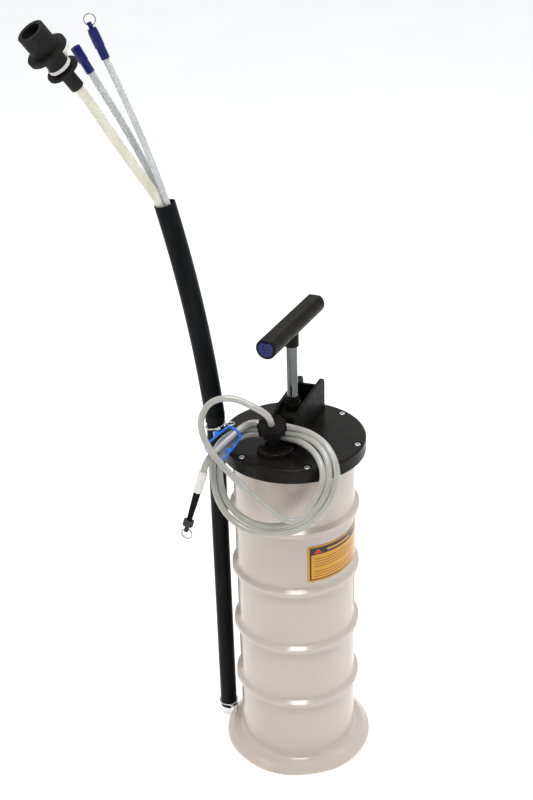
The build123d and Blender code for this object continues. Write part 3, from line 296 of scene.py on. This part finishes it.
# %% Extruded pipe, grip and rubber
pipe_black = finish("black_extruded_pipe", (0.017, 0.018, 0.021), 0.36, IOR=1.49, Specular_IOR_Level=0.06)
tint(pipe_black, grain(pipe_black, 0.012, 6, (1, 1, 0.12)), (0.0035, 0.0037, 0.0045), (0.009, 0.0095, 0.011))
polish(pipe_black, grain(pipe_black, 0.006, 6, (1, 1, 0.15)), 0.28, 0.46)
emboss(pipe_black, grain(pipe_black, 0.0009, 3, (1, 1, 0.02)), 0.00008, 0.6)
wear("storage_tube_lower", "storage_tube_cap", "storage_tube_upper", made=pipe_black)

grip_black = finish("grip_satin", (0.024, 0.0225, 0.021), 0.42, IOR=1.5, Specular_IOR_Level=0.07)
tint(grip_black, grain(grip_black, 0.018, 6), (0.006, 0.0056, 0.005), (0.014, 0.0125, 0.011))
polish(grip_black, grain(grip_black, 0.01, 6, warp=0.4), 0.33, 0.52)
emboss(grip_black, grain(grip_black, 0.0009, 4), 0.0001, 0.6)
wear("handle_grip", made=grip_black)

rubber = finish("black_moulded_rubber", (0.018, 0.018, 0.018), 0.6, IOR=1.45, Specular_IOR_Level=0.2)
tint(rubber, grain(rubber, 0.012, 6), (0.005, 0.005, 0.005), (0.014, 0.0135, 0.013))
polish(rubber, grain(rubber, 0.005, 5), 0.5, 0.72)
emboss(rubber, grain(rubber, 0.0014, 5), 0.00014, 0.6)
wear(
    "lid_gasket", "rod_seal", "intake_flap", "piston_cup", "rod_buffer", "inlet_seal", "storage_tube_collar",
    "probe_adapter", made=rubber,
)
print("blacks finished")

# %% [markdown]
# The pump rod is ground and plated: nearly a mirror, with the faintest rings from the
# grinding wheel round it. The screws and tie wires are zinc-plated, brighter than
# plain steel but cloudy. The rings are darker spring wire.

# %% Plated rod, zinc and spring wire
plated = finish("plated_rod", (0.17, 0.18, 0.185), 0.08, Metallic=1.0)
tint(plated, grain(plated, 0.02, 5, (1, 1, 0.3)), (0.085, 0.092, 0.095), (0.13, 0.136, 0.138))
polish(plated, grain(plated, 0.004, 5, (0.1, 0.1, 1)), 0.05, 0.16)
emboss(plated, grain(plated, 0.0005, 3, (0.05, 0.05, 1)), 0.00001, 0.4)
wear("pump_rod", made=plated)

zinc = finish("zinc_plate", (0.6, 0.605, 0.61), 0.28, Metallic=1.0)
tint(zinc, grain(zinc, 0.0025, 6), (0.5, 0.505, 0.52), (0.72, 0.72, 0.71))
polish(zinc, grain(zinc, 0.0016, 6), 0.18, 0.42)
emboss(zinc, grain(zinc, 0.0006, 5), 0.00004, 0.5)
wear("lid_screws", "piston_nut", "tube_tie_upper", "tube_tie_lower", made=zinc)

spring_wire = finish("spring_wire", (0.27, 0.285, 0.31), 0.3, Metallic=1.0)
tint(spring_wire, grain(spring_wire, 0.002, 6), (0.2, 0.215, 0.25), (0.38, 0.39, 0.41))
polish(spring_wire, grain(spring_wire, 0.0012, 5), 0.2, 0.42)
wear("split_ring", "probe_plug_ring", made=spring_wire)

# %% [markdown]
# The coloured fittings are solid-dyed nylon. Dye gives a deep colour with a slight
# flow pattern from the mould gate, and the skin is glossy with dull sink marks.

# %% Dyed nylon in two blues, and white nylon
def dyed_nylon(name, dark, light, smooth=0.24, rough=0.42):
    """Solid-dyed nylon: a streaky flow pattern in colour, and a finely uneven gloss."""
    made = finish(
        name, light, smooth, IOR=1.53, Subsurface_Weight=0.05, Subsurface_Scale=0.002, Specular_IOR_Level=0.3,
    )
    tint(made, grain(made, 0.008, 6, warp=1.2), dark, light)
    polish(made, grain(made, 0.003, 5), smooth, rough)
    emboss(made, grain(made, 0.0012, 4), 0.00006, 0.5)
    return made


royal = dyed_nylon("royal_blue_nylon", (0.001, 0.004, 0.075), (0.003, 0.009, 0.14), 0.16, 0.28)
wear(
    "handle_end_cap_front", "handle_end_cap_rear", "connector_medium", "connector_small", "probe_plug",
    made=royal,
)
bright_blue = dyed_nylon("bright_blue_nylon", (0.012, 0.13, 0.58), (0.03, 0.22, 0.80))
wear("pinch_clamp_body", "pinch_clamp_jaw", made=bright_blue)
white_nylon = dyed_nylon("white_nylon", (0.66, 0.645, 0.60), (0.80, 0.785, 0.75), 0.32, 0.5)
wear("piston", "hose_sleeve", "adapter_tie", made=white_nylon)
print("nylons finished")

# %% [markdown]
# The dip probes are stiff drawn tubes. The thick one is cream and lets little light
# through. The two thin ones are cloudy clear, slightly blue, with a wet-looking coat.
# The die leaves long lines, so the colour and the bump are stretched along the tube.

# %% Cream and clear probe tubes
cream_tube = finish(
    "cream_probe_tube", (0.69, 0.66, 0.54), 0.26, IOR=1.5, Subsurface_Weight=0.3, Subsurface_Scale=0.004,
    Coat_Weight=0.3, Coat_Roughness=0.1,
)
tint(cream_tube, grain(cream_tube, 0.014, 5, (1, 1, 0.2)), (0.62, 0.59, 0.45), (0.73, 0.70, 0.60))
polish(cream_tube, grain(cream_tube, 0.004, 5), 0.2, 0.36)
emboss(cream_tube, grain(cream_tube, 0.001, 3, (1, 1, 0.05)), 0.00006, 0.5)
wear("probe_large", made=cream_tube)

clear_tube = finish(
    "clear_probe_tube", (0.80, 0.825, 0.83), 0.12, IOR=1.45, Transmission_Weight=0.55,
    Coat_Weight=0.3, Coat_Roughness=0.06,
)
tint(clear_tube, grain(clear_tube, 0.012, 5, (1, 1, 0.2)), (0.70, 0.73, 0.745), (0.88, 0.90, 0.90))
polish(clear_tube, grain(clear_tube, 0.004, 5), 0.08, 0.22)
emboss(clear_tube, grain(clear_tube, 0.001, 3, (1, 1, 0.05)), 0.00005, 0.5)
wear("probe_medium", "probe_small", made=clear_tube)

# %% [markdown]
# The suction hose is one soft tube of 8 mm. It leaves the inlet, rises in a loop,
# drops across the front, and then hangs in two and a half loose turns round the
# inlet before it ends in a hard tip. A tube like this could be a simulated rope, but
# its turns are held by the inlet and the clamp, so they are given one by one instead: one
# smooth spline through listed points, each turn a little larger than the last.

# %% The hose's route
hose_exit = (-0.007, -0.056596, 0.500722)
hose_route = [
    hose_exit, (-0.007, -0.059904, 0.512257), (-0.0155, -0.0615, 0.521), (-0.0295, -0.0625, 0.5275),
    (-0.046, -0.062, 0.5335), (-0.064, -0.067, 0.5355), (-0.080, -0.073, 0.5285), (-0.0864, -0.0852, 0.5123),
    (-0.0804, -0.0932, 0.4933), (-0.0644, -0.1012, 0.4763), (-0.044, -0.1075, 0.4605),
    (-0.021, -0.1105, 0.4415), (0.003, -0.1095, 0.421), (0.024, -0.103, 0.403), (0.0415, -0.0975, 0.403),
    # The half turn, up the right side and over the top behind the inlet's neck.
    (0.0565, -0.0885, 0.429), (0.065, -0.0765, 0.4555), (0.051, -0.0605, 0.474), (0.0295, -0.049, 0.481),
    (0.008, -0.038, 0.4775),
    # The first whole turn, down the left side and round.
    (-0.020, -0.038, 0.4775), (-0.0448, -0.0467, 0.4799), (-0.0675, -0.066, 0.4658), (-0.067, -0.083, 0.436),
    (-0.054, -0.0945, 0.4075), (-0.0265, -0.099, 0.3895), (0.0075, -0.0995, 0.388), (0.0405, -0.0965, 0.402),
    (0.0645, -0.088, 0.4245), (0.0715, -0.074, 0.455), (0.0585, -0.0555, 0.4775), (0.034, -0.0445, 0.487),
    (0.008, -0.038, 0.485),
    # The second whole turn, outside the first.
    (-0.020, -0.038, 0.485), (-0.0503, -0.0452, 0.4864), (-0.077, -0.067, 0.4703), (-0.0745, -0.0855, 0.436),
    (-0.0605, -0.099, 0.4035), (-0.030, -0.105, 0.3815), (0.0085, -0.1035, 0.3805), (0.0465, -0.0985, 0.3935),
    (0.0715, -0.0875, 0.421), (0.0805, -0.071, 0.4545), (0.0645, -0.052, 0.480), (0.0375, -0.041, 0.491),
    (0.008, -0.038, 0.493),
    # The tail leaves the top to the left, through the clamp, to the hard tip.
    (-0.014, -0.0385, 0.493), (-0.031, -0.041, 0.494), (-0.0447, -0.050, 0.4943), (-0.073, -0.0893, 0.4682),
    (-0.0774, -0.09494, 0.45978), (-0.080, -0.0975, 0.4494),
]
HOSE_R = 4.0 * MM
print("route points", len(hose_route))


def laid_hose(name, points, radius):
    """An open NURBS spline of order 3 with a round bevel: the centreline is the curve itself."""
    data = bpy.data.curves.new(name, "CURVE")
    data.dimensions = "3D"
    data.bevel_depth = radius
    data.bevel_resolution = 6
    data.resolution_u = 8
    data.use_fill_caps = True
    spline = data.splines.new("NURBS")
    spline.points.add(len(points) - 1)
    spline.points.foreach_set("co", np.c_[np.array(points), np.ones(len(points))].ravel())
    spline.order_u = 3
    spline.use_endpoint_u = True
    made = bpy.data.objects.new(name, data)
    bpy.context.scene.collection.objects.link(made)
    return made


hose = laid_hose("suction_hose", hose_route, HOSE_R)

# %% [markdown]
# Soft hose of this kind is milky: light passes, but one cannot see through it clearly.
# A little transmission under a scattering body gives that, with a wet-looking coat.
# The colour drifts towards cream where old fluid has stained it, and a slow swell
# keeps the highlights from running too straight. Object coordinates are enough, as
# the turns face many ways.

# %% Milky hose finish
hose_skin = finish(
    "milky_soft_hose", (0.5, 0.5, 0.47), 0.24, IOR=1.46, Transmission_Weight=0.2,
    Subsurface_Weight=0.4, Subsurface_Scale=0.003, Coat_Weight=0.45, Coat_Roughness=0.08,
)
tint(hose_skin, grain(hose_skin, 0.05, 2), (0.44, 0.435, 0.395), (0.54, 0.54, 0.515))
polish(hose_skin, grain(hose_skin, 0.02, 2), 0.18, 0.28)
emboss(hose_skin, grain(hose_skin, 0.012, 2), 0.0001, 0.3)
wear(hose, made=hose_skin, slot="clear_hose")
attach(hose, "base")
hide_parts("suction_hose_lead", "suction_hose_coil", "suction_hose_tail")

# %% [markdown]
# A printed film is stuck on the wall. On the real thing it carries a warning; here it
# has only plain blocks: an amber field, a dark border, a dark band with a triangle and
# a few ruled bars, with no words. The film is worked out as a patch of a cylinder, a
# grid of angle and height, with its own map of 0 to 1 each way. Solidify makes its
# thickness, and a stack of rectangles drawn from the map makes the print.

# %% A patch of film on the wall
def lift_mesh(name, corners, faces, maps=None):
    """A smooth mesh object from an array of points and a list of faces, with one map if it is given."""
    mesh = bpy.data.meshes.new(name)
    mesh.from_pydata(corners.tolist(), [], faces)
    if maps is not None:
        layer = mesh.uv_layers.new(name="UVMap")
        order = np.empty(len(mesh.loops), int)
        mesh.loops.foreach_get("vertex_index", order)
        layer.data.foreach_set("uv", maps[order].ravel())
    mesh.shade_smooth()
    made = bpy.data.objects.new(name, mesh)
    bpy.context.scene.collection.objects.link(made)
    return made


def grid_faces(rows, columns, wrap_columns=False):
    """Index quadruples for a grid: each face joins a point to its right, upper right and upper ones."""
    r = np.arange(rows - 1)[:, None]
    c = np.arange(columns if wrap_columns else columns - 1)[None, :]
    right, upper = (c + 1) % columns, r + 1
    faces = np.stack([r * columns + c, r * columns + right, upper * columns + right, upper * columns + c], -1)
    return faces.reshape(-1, 4).tolist()


FILM_R = 76.3 * MM
FILM_THICKNESS = 0.2 * MM
FILM_CORNER = 2.5 * MM


def wall_film(name, node, start, end):
    """Each point is (R cos a, R sin a, z). The angle a runs from start to end over the width. Within one corner
    radius c of the top or bottom edge, the ends are drawn in by (c - sqrt(c^2 - (c - e)^2)) / R, where e is the
    distance to that edge, so that the corners are round."""
    low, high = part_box(node)
    rows, columns = 33, 65
    up = np.linspace(low.z, high.z, rows)
    edge = np.minimum(up - low.z, high.z - up)
    drawn_in = FILM_CORNER - np.sqrt(np.maximum(FILM_CORNER**2 - (FILM_CORNER - edge) ** 2, 0))
    inset = np.where(edge < FILM_CORNER, drawn_in, 0) / FILM_R
    share = np.linspace(0, 1, columns)
    angle = (start + inset)[:, None] * (1 - share) + (end - inset)[:, None] * share
    height = np.repeat(up[:, None], columns, 1)
    corners = np.stack([FILM_R * np.cos(angle), FILM_R * np.sin(angle), height], -1).reshape(-1, 3)
    maps = np.stack([(angle - start) / (end - start), (height - low.z) / (high.z - low.z)], -1).reshape(-1, 2)
    film = lift_mesh(name, corners, grid_faces(rows, columns), maps)
    thick = film.modifiers.new("film_thickness", "SOLIDIFY")
    thick.thickness = FILM_THICKNESS
    thick.offset = -1
    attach(film, "base")
    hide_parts(node)
    return film


front_film = wall_film("printed_film_front", "warning_label", radians(-60), radians(17))
side_film = wall_film("printed_film_side", "side_label", radians(8), radians(78))


# %% The film's print
def film_print(name, blocks, ground):
    """Rectangles over a ground colour; each is (left, right, low, high, colour) in the film's own map.
    A point is inside where it is over the left and under the right edge, and so for the heights."""
    made = finish(name, ground, 0.2, IOR=1.5, Specular_IOR_Level=0.4)
    where = add_node(made, "ShaderNodeSeparateXYZ")
    join(made, placed(made, source="UV"), where.inputs["Vector"])
    ink = add_node(made, "ShaderNodeMix", data_type="RGBA")
    ink.inputs[6].default_value = (*[0.9 * c for c in ground], 1)
    ink.inputs[7].default_value = (*ground, 1)
    join(made, grain(made, 0.004, 4), ink.inputs[0])
    colour = ink.outputs[2]

    def side(socket, operation, value):
        """A Math node that compares one map coordinate with an edge."""
        test = add_node(made, "ShaderNodeMath", operation=operation)
        test.inputs[1].default_value = value
        join(made, where.outputs[socket], test.inputs[0])
        return test.outputs[0]

    def both(first, second):
        product = add_node(made, "ShaderNodeMath", operation="MULTIPLY")
        join(made, first, product.inputs[0])
        join(made, second, product.inputs[1])
        return product.outputs[0]

    for left, right, low, high, ink_colour in blocks:
        width = both(side("X", "GREATER_THAN", left), side("X", "LESS_THAN", right))
        inside = both(width, both(side("Y", "GREATER_THAN", low), side("Y", "LESS_THAN", high)))
        layer = add_node(made, "ShaderNodeMix", data_type="RGBA")
        join(made, inside, layer.inputs[0])
        join(made, colour, layer.inputs[6])
        layer.inputs[7].default_value = (*ink_colour, 1)
        colour = layer.outputs[2]
    join(made, colour, made.node_tree.nodes["Principled BSDF"].inputs["Base Color"])
    polish(made, grain(made, 0.006, 5), 0.14, 0.3)
    emboss(made, grain(made, 0.01, 3), 0.0001, 0.4)
    return made


AMBER, INK, SIGNAL, RULING = (0.66, 0.31, 0.012), (0.012, 0.012, 0.012), (0.62, 0.02, 0.015), (0.2, 0.1, 0.02)
BORDER = [(0.030, 0.970, 0.045, 0.955, INK), (0.050, 0.950, 0.075, 0.925, AMBER)]
BAR_HEIGHT = 0.022
front_bars = [(0.09, right, low, low + BAR_HEIGHT, RULING) for right, low in (
    (0.90, 0.62), (0.84, 0.55), (0.88, 0.48), (0.70, 0.41), (0.90, 0.27), (0.78, 0.20), (0.86, 0.13),
)]
# Four bars, each narrower than the one below it, make the triangle.
triangle = [(left, right, low, high, SIGNAL) for left, right, low, high in (
    (0.085, 0.185, 0.785, 0.815), (0.098, 0.172, 0.815, 0.845), (0.111, 0.159, 0.845, 0.875),
    (0.125, 0.145, 0.875, 0.900),
)]
dark_band, title_bar = (0.050, 0.950, 0.755, 0.925, INK), (0.26, 0.66, 0.815, 0.865, AMBER)
front_print = film_print("amber_film", [*BORDER, dark_band, *triangle, title_bar, *front_bars], AMBER)
wear(front_film, made=front_print, slot="label_film")
side_bars = [
    (0.12, 0.88, 0.78, 0.84, INK), (0.12, 0.70, 0.60, 0.63, RULING), (0.12, 0.80, 0.48, 0.51, RULING),
    (0.12, 0.62, 0.36, 0.39, RULING),
]
side_print = film_print("amber_side_film", [*BORDER, *side_bars], AMBER)
wear(side_film, made=side_print, slot="label_film")

# %% [markdown]
# A split ring is a flat coil of spring wire with two turns side by side. A torus would
# do from far off, but the two turns and their cut ends are what makes it read as a
# key ring. One function carries a round profile along any path: at each point it
# needs the direction of the path and two directions across it.

# %% Wire carried along a path
def swept_wire(name, path, radius, sides=10):
    """A circle of `sides` points carried along the path: p + r (cos t u + sin t v). Here u is a fixed
    reference less its part along the path, made one long, and v is square to both."""
    along = np.gradient(path, axis=0)
    along /= np.linalg.norm(along, axis=1, keepdims=True)
    reference = np.array([0.31, 0.52, 0.79])
    across = reference - (along @ reference)[:, None] * along
    across /= np.linalg.norm(across, axis=1, keepdims=True)
    third = np.cross(along, across)
    turn = np.linspace(0, 2 * pi, sides, endpoint=False)
    ring = np.cos(turn)[None, :, None] * across[:, None, :] + np.sin(turn)[None, :, None] * third[:, None, :]
    corners = (path[:, None, :] + radius * ring).reshape(-1, 3)
    corners = np.vstack([corners, path[:1], path[-1:]])
    faces = grid_faces(len(path), sides, wrap_columns=True)
    first, last, last_ring = len(path) * sides, len(path) * sides + 1, (len(path) - 1) * sides
    faces += [[first, (n + 1) % sides, n] for n in range(sides)]
    faces += [[last, last_ring + n, last_ring + (n + 1) % sides] for n in range(sides)]
    return lift_mesh(name, corners, faces)


RING_WIRE = 0.62 * MM
RING_SWEEP = radians(710)
RING_DRIFT = 0.8


def key_ring(name, node, body, flat):
    """Two turns of wire: the angle runs through 710 degrees while the wire drifts sideways by 0.8 of its
    radius each way. The ring stands upright in the plane of `flat`, round the middle of its node's box."""
    low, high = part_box(node)
    middle, reach = (low + high) / 2, (high.z - low.z) / 2 - RING_WIRE
    side = Vector(flat).cross(Vector((0, 0, 1)))
    angle = np.linspace(0, RING_SWEEP, 120)
    drift = np.linspace(-RING_DRIFT, RING_DRIFT, 120) * RING_WIRE
    path = (
        np.array(middle)
        + reach * np.cos(angle)[:, None] * np.array(flat)
        + reach * np.sin(angle)[:, None] * np.array((0, 0, 1))
        + drift[:, None] * np.array(side)
    )
    ring = swept_wire(name, path, RING_WIRE)
    wear(ring, made=spring_wire, slot="dark_wire")
    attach(ring, body)
    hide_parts(node)


key_ring("hose_key_ring", "split_ring", "split_ring_body", (1, 0, 0))
key_ring("probe_key_ring", "probe_plug_ring", "probe_ring_body", (-0.936672, -0.350207, 0))

# %% [markdown]
# The tube is tied to the container with two loops of soft wire. Each loop is closed by
# twisting its ends with pliers, and the bright twisted tail sticks out at the front.
# Two strands wind round one line: each is that line plus a small circle, half a turn
# apart, so they lie against each other all the way.

# %% Twisted wire tails
TIE_WIRE = 0.8 * MM
TIE_TURNS = 4


def twisted_tail(name, start, end):
    """Two helices round the line from start to end, half a turn apart. Each is the line plus
    r (cos a u + sin a v), and r is a little over the wire's radius, so the strands just clear each other."""
    start, end = np.array(start), np.array(end)
    share = np.linspace(0, 1, 96)
    along = (end - start) / np.linalg.norm(end - start)
    across = np.cross(along, (0, 0, 1))
    across /= np.linalg.norm(across)
    third = np.cross(along, across)
    for letter, phase in (("a", 0), ("b", pi)):
        angle = 2 * pi * TIE_TURNS * share + phase
        circle = np.cos(angle)[:, None] * across + np.sin(angle)[:, None] * third
        path = start + share[:, None] * (end - start) + 1.02 * TIE_WIRE * circle
        strand = swept_wire(f"{name}_{letter}", path, TIE_WIRE, 8)
        wear(strand, made=zinc, slot="steel")
        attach(strand, "base")


pipe_low, pipe_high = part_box("storage_tube_lower")
pipe_x = (pipe_low.x + pipe_high.x) / 2
upper_start = (pipe_x + 5.0 * MM, pipe_low.y - 0.9 * MM, 0.4615)
twisted_tail("upper_tie_tail", upper_start, (upper_start[0] + 8.5 * MM, upper_start[1] - 6.5 * MM, 0.4665))
lower_start = (pipe_x + 6.0 * MM, pipe_low.y - 0.2 * MM, 0.024)
twisted_tail("lower_tie_tail", lower_start, (lower_start[0] + 8.0 * MM, lower_start[1] - 6.0 * MM, 0.0285))

# %% [markdown]
# The floor is matt painted board: pale, with a soft cloudiness so that it isn't a
# perfect plane, and a little light of its own, which keeps it pale in the far corners.

# %% Floor paint
board = finish(
    "pale_floor_paint", (0.87, 0.875, 0.88), 0.7, Emission_Color=(1, 1, 1, 1), Emission_Strength=0.36,
)
tint(board, grain(board, 0.35, 3), (0.86, 0.865, 0.87), (0.89, 0.893, 0.895))
polish(board, grain(board, 0.1, 4), 0.62, 0.78)
wear(floor, made=board)
